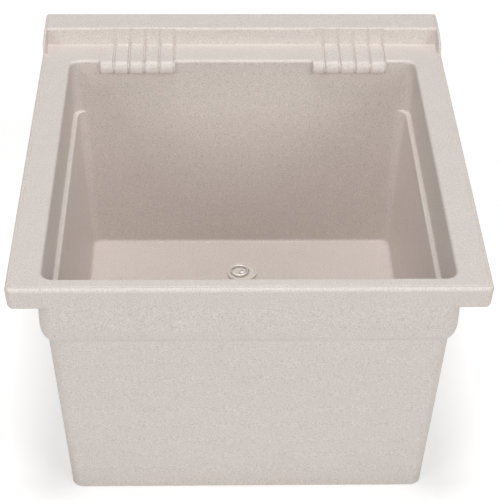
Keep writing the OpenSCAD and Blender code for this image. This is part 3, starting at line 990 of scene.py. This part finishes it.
    def u_row(self, plan: Plan, sweep: float, z: float) -> Row:
        """Open row round the sides and the rear, with part of each front corner.

        Args:
            plan: Outline.
            sweep: Part of each front corner that belongs to the row, in degrees.
            z: Height.

        Returns:
            The row, anticlockwise.
        """
        r, cx = plan.radius, plan.half - plan.radius
        low = plan.front + r
        rear = [(x, plan.back, z) for x in steps(-cx, cx, self.REAR)][1:-1]
        row = self.arc(cx, low, r, -sweep, 0, self.SWEEP, z)
        row += self.rear_part(plan, z, rear, self.TURN)[1:]
        return row + self.arc(-cx, low, r, 180, 180 + sweep, self.SWEEP, z)[1:]

    def band_plan(self, z: float) -> Plan:
        """Outline of the band between the skirt and the shoulder, at a level."""
        return Plan(self.band_x, self.band_front, self.back_wall(z) + self.wall, self.bowl_corner_r)

    def body_row(self, plan: Plan, z: float) -> Row:
        """A closed row round the body below the rim."""
        front = self.front_part(plan, z, self.channel_sweep)
        return self.u_row(plan, self.channel_sweep, z) + front[1:-1]

    def outer_plan(self, z: float, inset: float = 0.0) -> Plan:
        """Outline of the body below the shoulder.

        Args:
            z: Height.
            inset: Distance inside the outer face.

        Returns:
            The outline.
        """
        lean = self.upper_lean + self.shelf_w - self.wall + (self.shelf - z) * self.lower_slope
        front = -self.half_d + self.front_setback + (self.shoulder - z) * self.lower_slope
        return Plan(self.bowl_x - lean - inset, front + inset, self.back_wall(z) + self.wall - inset,
                    self.bowl_corner_r - inset)

    def outside(self, skin: Skin) -> Row:
        """Adds the body below the rim, down to the ground and up to the floor's underside.

        Args:
            skin: Mesh that is built.

        Returns:
            The row at the edge of the floor's underside.
        """
        rows = [self.body_row(self.band_plan(z), z) for z in (self.skirt, *self.band_levels)]
        foot = self.outer_plan(self.shoulder)
        for c, s in waves(90, self.shoulder_end, self.SHOULDER):
            z = self.shoulder + self.shoulder_h * (1 - c)
            band = self.band_plan(z)
            half, front = mix(foot.half, band.half, s), mix(foot.front, band.front, s)
            rows.append(self.body_row(Plan(half, front, band.back, band.radius), z))
        for out, z in self.shoulder_root:
            base = self.outer_plan(z)
            root = Plan(base.half + out, base.front - out, base.back, base.radius)
            rows.append(self.body_row(root, z))
        bevel, edge_r, fillet_r = self.foot_bevel, self.foot_edge_r, self.hollow_fillet_r
        inner = [(z, 0.0) for z in self.foot_levels]
        inner += [(edge_r * (1 - s), edge_r * (1 - c)) for c, s in waves(0, 90, self.FOOT_EDGE)]
        inner += [(0.0, self.foot_t - bevel), (bevel, self.foot_t)]
        inner += [(z, self.foot_t) for z in self.hollow_levels]
        inner += [(self.under_floor - fillet_r * (1 - s), self.foot_t + fillet_r * (1 - c))
                  for c, s in waves(0, 90, self.HOLLOW_FILLET)]
        rows += [self.body_row(self.outer_plan(z, inset), z) for z, inset in inner]
        skin.loft(rows, closed=True)
        return rows[-1]

    def drain(self, skin: Skin, floor_row: Row, under_row: Row) -> None:
        """Adds the drain's hole, the boss under it, and the floor's two faces round them.

        Args:
            skin: Mesh that is built.
            floor_row: Row at the foot of the bowl's walls.
            under_row: Row at the edge of the floor's underside.
        """
        centre = (0.0, self.drain_y)
        recess = self.boss + self.recess_h
        profile = [(self.drain_r + out, self.floor + up) for out, up in self.drain_edge]
        profile += [(self.drain_r, recess), (self.recess_r, recess), (self.recess_r, self.boss)]
        bevel = self.boss_bevel
        profile += [(self.boss_r - bevel, self.boss), (self.boss_r, self.boss + bevel)]
        profile += [(self.boss_r + out, self.under_floor + up) for out, up in self.boss_root]
        rows = [self.arc(*centre, r, 0, 360, self.ROUND, z)[:-1] for r, z in profile]
        skin.loft(rows, closed=True)
        skin.stitch(floor_row, rows[0], centre)
        skin.stitch(under_row, rows[-1], centre)

    def build(self) -> bpy.types.Object:
        """Makes the tub's skin and marks its edges.

        Returns:
            The object, in place.
        """
        skin = Skin()
        low, over = self.stations()
        floor_row = self.inside(skin, low)
        self.over_rim(skin, over)
        self.under_rim(skin, over)
        under_row = self.outside(skin)
        self.drain(skin, floor_row, under_row)
        tub = skin.build("tub_moulding")
        mark_edges(tub, self.wear_reach, self.wear_rounds)
        return tub

    def dress(self, painter: "Painter") -> None:
        """Builds the skin, gives it its finish and puts it in the place of the tub's solid.

        Args:
            painter: Maker of the materials.
        """
        tub = self.build()
        painter.dress(tub, MOULDED_STONE)
        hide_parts("tub")
        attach(tub, "tub")
        LOG.info("tub: %d faces", len(tub.data.polygons))


class Surface(Enum):
    """What a finish is made of. Metal shines as metal and shows its streaks."""

    CAST = "cast"
    PLASTIC = "plastic"
    RUBBER = "rubber"
    METAL = "metal"


@dataclass(frozen=True)
class Finish:
    """Values of one procedural material. Colours are linear, and lengths are in metres."""

    name: str
    surface: Surface
    colour: tuple[float, float, float]
    roughness: float
    mottle: float = 0.02
    mottle_size: float = 0.03
    speck: float = 0.0
    speck_size: float = 0.0012
    # Share by which rounded edges are painted paler as highlights and creases darker as shade
    edge: float = 0.0
    grain: float = 0.0
    grain_size: float = 0.0008
    grain_stretch: float = 1.0
    dust: float = 0.0


# Each edge value paints rounded edges paler as highlights and creases darker as shade
MOULDED_STONE = Finish(
    "moulded_stone", Surface.CAST, (0.740, 0.673, 0.631), 0.46, mottle=0.025, mottle_size=0.030,
    speck=0.20, speck_size=0.0016, edge=0.02, grain=0.00003, grain_size=0.0025, dust=0.06)
OUTLET_PLASTIC = Finish(
    "outlet_plastic", Surface.PLASTIC, (0.80, 0.78, 0.73), 0.38, edge=0.06, grain=0.00001, dust=0.15)
WASHER_PLASTIC = Finish(
    "washer_plastic", Surface.PLASTIC, (0.62, 0.62, 0.58), 0.42, grain=0.00001, dust=0.15)
GASKET_RUBBER = Finish(
    "gasket_rubber", Surface.RUBBER, (0.028, 0.028, 0.028), 0.72, mottle=0.1, grain=0.00004, dust=0.25)
STOPPER_RUBBER = Finish(
    "stopper_rubber", Surface.RUBBER, (0.82, 0.755, 0.69), 0.50, mottle=0.04, mottle_size=0.012,
    edge=0.10, grain=0.00002, dust=0.06)
PLAIN_STEEL = Finish(
    "plain_steel", Surface.METAL, (0.56, 0.56, 0.57), 0.34, grain=0.00001, grain_size=0.0005,
    grain_stretch=14.0, dust=0.05)
BRIGHT_STEEL = Finish(
    "bright_steel", Surface.METAL, (0.80, 0.77, 0.75), 0.46, mottle=0.03, mottle_size=0.006,
    grain=0.000004, grain_size=0.0006, grain_stretch=8.0, dust=0.04)


class Wiring:
    """Adds nodes to one node tree and links them."""

    def __init__(self, tree: bpy.types.NodeTree) -> None:
        """Starts on a tree and removes its own nodes."""
        self.tree = tree
        tree.nodes.clear()

    def add(self, kind: str, **settings: object) -> bpy.types.Node:
        """Adds a node.

        Args:
            kind: Blender's name for the node's type.
            settings: Properties of the node.

        Returns:
            The node.
        """
        node = self.tree.nodes.new(kind)
        for name, value in settings.items():
            setattr(node, name, value)
        return node

    def feed(self, value: object, socket: bpy.types.NodeSocket) -> None:
        """Links an output to a socket, or sets the socket to a constant.

        Args:
            value: Output socket or constant.
            socket: Input socket.
        """
        if isinstance(value, bpy.types.NodeSocket):
            self.tree.links.new(value, socket)
        else:
            socket.default_value = value

    def fill(self, node: bpy.types.Node, values: dict[str, object]) -> bpy.types.Node:
        """Feeds several inputs of a node.

        Args:
            node: The node.
            values: Output sockets or constants by the names of its inputs.

        Returns:
            The node.
        """
        for name, value in values.items():
            self.feed(value, node.inputs[name])
        return node

    def show(self, surface: bpy.types.NodeSocket, kind: str = "ShaderNodeOutputMaterial") -> None:
        """Links a shader to an output node of the tree."""
        self.feed(surface, self.add(kind).inputs["Surface"])

    def noise(self, place: object, scale: object, detail: float, rough: float) -> bpy.types.NodeSocket:
        """Adds a noise texture.

        Args:
            place: Coordinates.
            scale: Cells per metre.
            detail: Number of octaves.
            rough: Strength of the higher octaves.

        Returns:
            Its value, mostly from 0.3 to 0.7.
        """
        node = self.add("ShaderNodeTexNoise", noise_dimensions="3D")
        self.fill(node, {"Vector": place, "Scale": scale, "Detail": detail, "Roughness": rough})
        return node.outputs["Fac"]

    def remap(self, value: object, low: float, high: float, new_low: object,
              new_high: object) -> bpy.types.NodeSocket:
        """Maps a range onto another one, with the ends held.

        Args:
            value: Value to map.
            low: Start of its range.
            high: End of its range.
            new_low: Result at the start.
            new_high: Result at the end.

        Returns:
            The mapped value.
        """
        node = self.add("ShaderNodeMapRange", clamp=True)
        self.fill(node, {"Value": value, "From Min": low, "From Max": high,
                         "To Min": new_low, "To Max": new_high})
        return node.outputs["Result"]

    def maths(self, operation: str, a: object, b: object) -> bpy.types.NodeSocket:
        """Works out an operation on two values.

        Args:
            operation: Blender's name for it.
            a: First value.
            b: Second value.

        Returns:
            The result.
        """
        node = self.add("ShaderNodeMath", operation=operation)
        self.feed(a, node.inputs[0])
        self.feed(b, node.inputs[1])
        return node.outputs["Value"]

    def tint(self, colour: object, factor: object) -> bpy.types.NodeSocket:
        """Multiplies a colour by a value.

        Args:
            colour: Colour.
            factor: Value, 1 for no change.

        Returns:
            The colour.
        """
        node = self.add("ShaderNodeVectorMath", operation="SCALE")
        self.fill(node, {"Vector": colour, "Scale": factor})
        return node.outputs["Vector"]

    def blend(self, share: object, a: object, b: object) -> bpy.types.NodeSocket:
        """Mixes two colours.

        Args:
            share: Share of the second one.
            a: First colour.
            b: Second colour.

        Returns:
            The mixed colour.
        """
        node = self.add("ShaderNodeMix", data_type="RGBA", blend_type="MIX")
        self.fill(node, {"Factor": share, "A": a, "B": b})
        return node.outputs["Result"]


class Effect(Enum):
    """Shared node groups."""

    MOTTLE = "mottle"
    # Painted highlights on rounded edges and painted shade in creases
    EDGES = "painted_edge_light_and_crease_shade"
    DUST = "dust"
    GRAIN = "grain"


class Effects:
    """Builds each shared node group once and places it in materials."""

    VALUE, COLOUR, VECTOR = "NodeSocketFloat", "NodeSocketColor", "NodeSocketVector"

    # How many times smaller the fine clouds are, and the large clouds' share of the shade
    FINE_CLOUDS = 4.5
    CLOUD_SHARE = 0.6

    # Strength of the light specks, beside 1 for the dark ones
    LIGHT_SPECKS = 0.8

    # Patches of dust per metre, their least and most, and their colour
    DUST_CELLS = 45.0
    DUST_LEVELS = (0.2, 1.0)
    DUST_COLOUR = (0.62, 0.59, 0.55, 1.0)

    # Values at which each mask starts and is full
    CLOUDS = (0.3, 0.7)
    DARK_GRIT = (0.58, 0.70)
    LIGHT_GRIT = (0.42, 0.30)
    BEND = (0.1, 0.9)
    UPWARD = (0.2, 1.0)
    PATCHES = (0.4, 0.65)
    STREAKS = (0.35, 0.65)

    def __init__(self) -> None:
        """Builds the four groups."""
        self.groups = {
            Effect.MOTTLE: self.mottle(), Effect.EDGES: self.edges(),
            Effect.DUST: self.dust(), Effect.GRAIN: self.grain()}

    def place(self, wiring: Wiring, effect: Effect, **values: object) -> bpy.types.Node:
        """Puts a group in a material's wiring, with values for its inputs by name."""
        return wiring.fill(wiring.add("ShaderNodeGroup", node_tree=self.groups[effect]), values)

    def begin(self, effect: Effect, inputs: dict[str, str],
              outputs: dict[str, str]) -> tuple[Wiring, bpy.types.Node, bpy.types.Node]:
        """Starts a group.

        Args:
            effect: Which group.
            inputs: Socket types by name.
            outputs: Socket types by name.

        Returns:
            The group's wiring, input node and output node.
        """
        tree = bpy.data.node_groups.new(effect.value, "ShaderNodeTree")
        for name, kind in inputs.items():
            tree.interface.new_socket(name, in_out="INPUT", socket_type=kind)
        for name, kind in outputs.items():
            tree.interface.new_socket(name, in_out="OUTPUT", socket_type=kind)
        wiring = Wiring(tree)
        return wiring, wiring.add("NodeGroupInput"), wiring.add("NodeGroupOutput")

    def mottle(self) -> bpy.types.NodeTree:
        """Soft clouds and fine specks in a colour.

        Returns:
            The group.
        """
        w, given, made = self.begin(
            Effect.MOTTLE,
            {"Place": self.VECTOR, "Color": self.COLOUR, "Size": self.VALUE, "Amount": self.VALUE,
             "SpeckSize": self.VALUE, "Specks": self.VALUE},
            {"Color": self.COLOUR, "Mask": self.VALUE})
        g = given.outputs
        large, small = (w.maths("DIVIDE", times, g["Size"]) for times in (1.0, self.FINE_CLOUDS))
        clouds = w.noise(g["Place"], large, detail=3.0, rough=0.55)
        fine = w.noise(g["Place"], small, detail=2.0, rough=0.5)
        both = w.maths("ADD", w.maths("MULTIPLY", clouds, self.CLOUD_SHARE),
                       w.maths("MULTIPLY", fine, 1 - self.CLOUD_SHARE))
        darkest, palest = (w.maths(sign, 1.0, g["Amount"]) for sign in ("SUBTRACT", "ADD"))
        shade = w.remap(both, *self.CLOUDS, darkest, palest)
        grit = w.noise(g["Place"], w.maths("DIVIDE", 1.0, g["SpeckSize"]), detail=1.0, rough=0.4)
        dark = w.remap(grit, *self.DARK_GRIT, 1.0, w.maths("SUBTRACT", 1.0, g["Specks"]))
        paler = w.maths("ADD", 1.0, w.maths("MULTIPLY", g["Specks"], self.LIGHT_SPECKS))
        light = w.remap(grit, *self.LIGHT_GRIT, 1.0, paler)
        colour = w.tint(g["Color"], w.maths("MULTIPLY", shade, w.maths("MULTIPLY", dark, light)))
        w.fill(made, {"Color": colour, "Mask": w.remap(both, *self.CLOUDS, 0.0, 1.0)})
        return w.tree

    def edges(self) -> bpy.types.NodeTree:
        """Painted highlights on rounded edges and painted shade in creases, from the mesh's roundness.

        Returns:
            The group.
        """
        w, given, made = self.begin(
            Effect.EDGES, {"Color": self.COLOUR, "Amount": self.VALUE}, {"Color": self.COLOUR})
        g = given.outputs
        bend = w.add("ShaderNodeAttribute", attribute_name="roundness").outputs["Fac"]
        start, full = self.BEND
        edge = w.remap(bend, start, full, 0.0, 1.0)
        crease = w.remap(bend, -start, -full, 0.0, 1.0)
        # Edges painted paler as highlights, creases painted darker as shade
        edge_highlight = w.maths("ADD", 1.0, w.maths("MULTIPLY", edge, g["Amount"]))
        crease_shade = w.maths("SUBTRACT", 1.0, w.maths("MULTIPLY", crease, g["Amount"]))
        w.feed(w.tint(g["Color"], w.maths("MULTIPLY", edge_highlight, crease_shade)), made.inputs["Color"])
        return w.tree

    def dust(self) -> bpy.types.NodeTree:
        """Dry film on faces that look up.

        Returns:
            The group.
        """
        w, given, made = self.begin(
            Effect.DUST, {"Place": self.VECTOR, "Color": self.COLOUR, "Amount": self.VALUE},
            {"Color": self.COLOUR, "Mask": self.VALUE})
        g = given.outputs
        facing = w.add("ShaderNodeSeparateXYZ")
        w.feed(w.add("ShaderNodeNewGeometry").outputs["Normal"], facing.inputs["Vector"])
        up = w.remap(facing.outputs["Z"], *self.UPWARD, 0.0, 1.0)
        cells = w.noise(g["Place"], self.DUST_CELLS, detail=4.0, rough=0.6)
        patch = w.remap(cells, *self.PATCHES, *self.DUST_LEVELS)
        mask = w.maths("MULTIPLY", w.maths("MULTIPLY", up, patch), g["Amount"])
        w.fill(made, {"Color": w.blend(mask, g["Color"], self.DUST_COLOUR), "Mask": mask})
        return w.tree

    def grain(self) -> bpy.types.NodeTree:
        """Fine relief, drawn out along one direction on metal.

        Returns:
            The group.
        """
        w, given, made = self.begin(
            Effect.GRAIN, {"Place": self.VECTOR, "Size": self.VALUE, "Stretch": self.VALUE},
            {"Height": self.VALUE, "Streak": self.VALUE})
        g = given.outputs
        parts = w.add("ShaderNodeSeparateXYZ")
        w.feed(g["Place"], parts.inputs["Vector"])
        drawn = w.fill(w.add("ShaderNodeCombineXYZ"), {
            "X": w.maths("DIVIDE", parts.outputs["X"], g["Stretch"]),
            "Y": parts.outputs["Y"], "Z": parts.outputs["Z"]})
        scale = w.maths("DIVIDE", 1.0, g["Size"])
        height = w.noise(drawn.outputs["Vector"], scale, detail=3.0, rough=0.6)
        w.fill(made, {"Height": height, "Streak": w.remap(height, *self.STREAKS, 0.0, 1.0)})
        return w.tree


class Painter:
    """Makes one material for each finish."""

    # Share of the roughness that the clouds change, and what streaks and dust add to it
    UNEVEN = 0.08
    STREAKS = 0.08
    DULL_DUST = 0.3

    def __init__(self) -> None:
        """Builds the shared effects."""
        self.effects = Effects()
        self.made: dict[str, bpy.types.Material] = {}

    def material(self, finish: Finish) -> bpy.types.Material:
        """The material of a finish.

        Args:
            finish: The finish.

        Returns:
            Its material, made once.
        """
        if finish.name not in self.made:
            self.made[finish.name] = self.paint(finish)
        return self.made[finish.name]

    def paint(self, finish: Finish) -> bpy.types.Material:
        """Builds the material of a finish.

        Args:
            finish: The finish.

        Returns:
            The material.
        """
        material = bpy.data.materials.new(finish.name)
        material.use_nodes = True
        w = Wiring(material.node_tree)
        place = w.add("ShaderNodeTexCoord").outputs["Object"]
        mottle = self.effects.place(
            w, Effect.MOTTLE, Place=place, Color=(*finish.colour, 1.0), Size=finish.mottle_size,
            Amount=finish.mottle, SpeckSize=finish.speck_size, Specks=finish.speck)
        # Painted highlights on rounded edges and painted shade in creases
        edges = self.effects.place(w, Effect.EDGES, Color=mottle.outputs["Color"], Amount=finish.edge)
        dust = self.effects.place(
            w, Effect.DUST, Place=place, Color=edges.outputs["Color"], Amount=finish.dust)
        grain = self.effects.place(
            w, Effect.GRAIN, Place=place, Size=finish.grain_size, Stretch=finish.grain_stretch)
        rough = w.remap(mottle.outputs["Mask"], 0.0, 1.0, finish.roughness * (1 + self.UNEVEN),
                        finish.roughness * (1 - self.UNEVEN))
        metal = finish.surface is Surface.METAL
        if metal:
            rough = w.maths("ADD", rough, w.maths("MULTIPLY", grain.outputs["Streak"], self.STREAKS))
        rough = w.maths("ADD", rough, w.maths("MULTIPLY", dust.outputs["Mask"], self.DULL_DUST))
        bump = w.fill(w.add("ShaderNodeBump"), {
            "Strength": 1.0, "Distance": finish.grain, "Height": grain.outputs["Height"]})
        shader = w.fill(w.add("ShaderNodeBsdfPrincipled"), {
            "Base Color": dust.outputs["Color"], "Metallic": float(metal), "Roughness": rough,
            "Normal": bump.outputs["Normal"]})
        w.show(shader.outputs["BSDF"])
        return material

    def dress(self, obj: bpy.types.Object, finish: Finish) -> None:
        """Gives a mesh object a finish, in place of what it has."""
        obj.data.materials.clear()
        obj.data.materials.append(self.material(finish))


class Fittings:
    """Pieces that keep the meshes of their solids. Each field is a piece with its finish."""

    def dress(self, nodes: dict[str, bpy.types.Object], painter: Painter) -> None:
        """Gives each piece its finish.

        Args:
            nodes: The solids' objects by name.
            painter: Maker of the materials.
        """
        for piece in fields(self):
            name, finish = piece.name, getattr(self, piece.name)
            painter.dress(nodes[name], finish)
            LOG.info("%s: %s", name, finish.name)


@dataclass
class Drain(Fittings):
    """The outlet under the floor, with what seals it, holds it and joins it to the waste tube."""

    drain_outlet: Finish = OUTLET_PLASTIC
    outlet_gasket: Finish = GASKET_RUBBER
    strainer_plate: Finish = PLAIN_STEEL
    flange_screws: Finish = PLAIN_STEEL
    coupling_nut: Finish = OUTLET_PLASTIC
    slip_washer: Finish = WASHER_PLASTIC


@dataclass
class Stopper(Fittings):
    """The stopper, with the riveted bracket that holds its pull ring."""

    stopper: Finish = STOPPER_RUBBER
    ring_bracket: Finish = BRIGHT_STEEL
    stopper_rivet: Finish = BRIGHT_STEEL
    rivet_washer: Finish = BRIGHT_STEEL
    pull_ring: Finish = BRIGHT_STEEL


@dataclass(frozen=True)
class Lamp:
    """A square area lamp, with its side in metres and its power in watts."""

    name: str
    place: Point
    side: float
    power: float


@dataclass
class Studio:
    """Floor, sky, lamps and camera: angles in radians, and sensor and lens in millimetres."""

    floor_size: float = 30.0
    floor_colour: float = 0.72
    floor_roughness: float = 0.9
    floor_glow: float = 0.50
    world_level: float = 0.10
    aim: Point = (0.0, 0.0, 0.25)
    lamps: tuple[Lamp, ...] = (
        Lamp("overhead", (0.0, 0.0, 7.3), 2.0, 240.0),
        Lamp("left_box", (-4.914, -4.914, 3.79), 4.2, 158.0),
        Lamp("right_box", (4.914, -4.914, 3.79), 4.2, 178.0),
        Lamp("front_box", (0.0, -8.457, 3.33), 3.6, 106.0))
    camera_place: Point = (-0.0433, -1.8303, 1.5260)
    camera_yaw: float = 0.0258
    camera_pitch: float = 0.6372
    camera_roll: float = -0.0123
    camera_sensor: float = 36.0
    camera_lens: float = 116.34
    camera_shift: tuple[float, float] = (0.0061, -0.00015)

    def floor(self) -> None:
        """Makes the floor, which looks white to the camera, keeps the shadow and is clear from below."""
        half = self.floor_size / 2
        mesh = bpy.data.meshes.new("studio_floor")
        mesh.from_pydata([(-half, -half, 0), (half, -half, 0), (half, half, 0), (-half, half, 0)],
                         [], [(0, 1, 2, 3)])
        obj = placed("studio_floor", mesh)
        material = bpy.data.materials.new("studio_floor")
        material.use_nodes = True
        w = Wiring(material.node_tree)
        ray = w.add("ShaderNodeLightPath").outputs
        reflected = w.maths("MAXIMUM", ray["Is Glossy Ray"], ray["Is Transmission Ray"])
        seen = w.maths("MAXIMUM", ray["Is Camera Ray"], reflected)
        below = w.add("ShaderNodeNewGeometry").outputs["Backfacing"]
        shader = w.fill(w.add("ShaderNodeBsdfPrincipled"), {
            "Base Color": (self.floor_colour,) * 3 + (1.0,), "Roughness": self.floor_roughness,
            "Specular IOR Level": 0.0, "Emission Color": WHITE,
            "Emission Strength": w.maths("MULTIPLY", seen, self.floor_glow),
            "Alpha": w.maths("SUBTRACT", 1.0, below)})
        w.show(shader.outputs["BSDF"])
        mesh.materials.append(material)

    def sky(self) -> None:
        """Lights the scene faintly from all round, and is white to the camera and in reflections."""
        world = bpy.data.worlds.new("studio_sky")
        bpy.context.scene.world = world
        world.use_nodes = True
        w = Wiring(world.node_tree)
        light, white = (
            w.fill(w.add("ShaderNodeBackground"), {"Color": WHITE, "Strength": strength})
            for strength in (self.world_level, 1.0))
        ray = w.add("ShaderNodeLightPath").outputs
        both = w.add("ShaderNodeMixShader")
        w.feed(w.maths("MAXIMUM", ray["Is Camera Ray"], ray["Is Glossy Ray"]), both.inputs["Fac"])
        w.feed(light.outputs["Background"], both.inputs[1])
        w.feed(white.outputs["Background"], both.inputs[2])
        w.show(both.outputs["Shader"], "ShaderNodeOutputWorld")

    def light(self, lamp: Lamp) -> None:
        """Adds a lamp that points at the tub.

        Args:
            lamp: Its name, place, side and power.
        """
        data = bpy.data.lights.new(lamp.name, "AREA")
        data.size = lamp.side
        data.energy = lamp.power
        obj = placed(lamp.name, data)
        obj.location = lamp.place
        ahead = Vector(self.aim) - Vector(lamp.place)
        obj.rotation_euler = ahead.to_track_quat("-Z", "Y").to_euler()

    def camera(self) -> None:
        """Adds the camera, at the photograph's place and angle."""
        data = bpy.data.cameras.new("photo_camera")
        data.sensor_width = self.camera_sensor
        data.lens = self.camera_lens
        data.shift_x, data.shift_y = self.camera_shift
        obj = placed("photo_camera", data)
        yaw, pitch, roll = self.camera_yaw, self.camera_pitch, self.camera_roll
        level = math.cos(pitch)
        ahead = Vector((math.sin(yaw) * level, math.cos(yaw) * level, -math.sin(pitch)))
        right = Vector((math.cos(yaw), -math.sin(yaw), 0.0))
        down = ahead.cross(right)
        turned_right = math.cos(roll) * right + math.sin(roll) * down
        turned_down = math.cos(roll) * down - math.sin(roll) * right
        axes = Matrix((turned_right, -turned_down, -ahead)).transposed()
        obj.matrix_world = Matrix.Translation(self.camera_place) @ axes.to_4x4()
        bpy.context.scene.camera = obj

    def build(self) -> None:
        """Sets up the whole studio."""
        self.floor()
        self.sky()
        for lamp in self.lamps:
            self.light(lamp)
        self.camera()
        bpy.context.scene.view_settings.view_transform = "Standard"


def main() -> None:
    """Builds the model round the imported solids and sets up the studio."""
    logging.basicConfig(level=logging.INFO, format="%(name)s: %(message)s")
    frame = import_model()
    painter = Painter()
    TubSkin().dress(painter)
    Drain().dress(frame["nodes"], painter)
    Stopper().dress(frame["nodes"], painter)
    Studio().build()


if __name__ == "__main__":
    main()
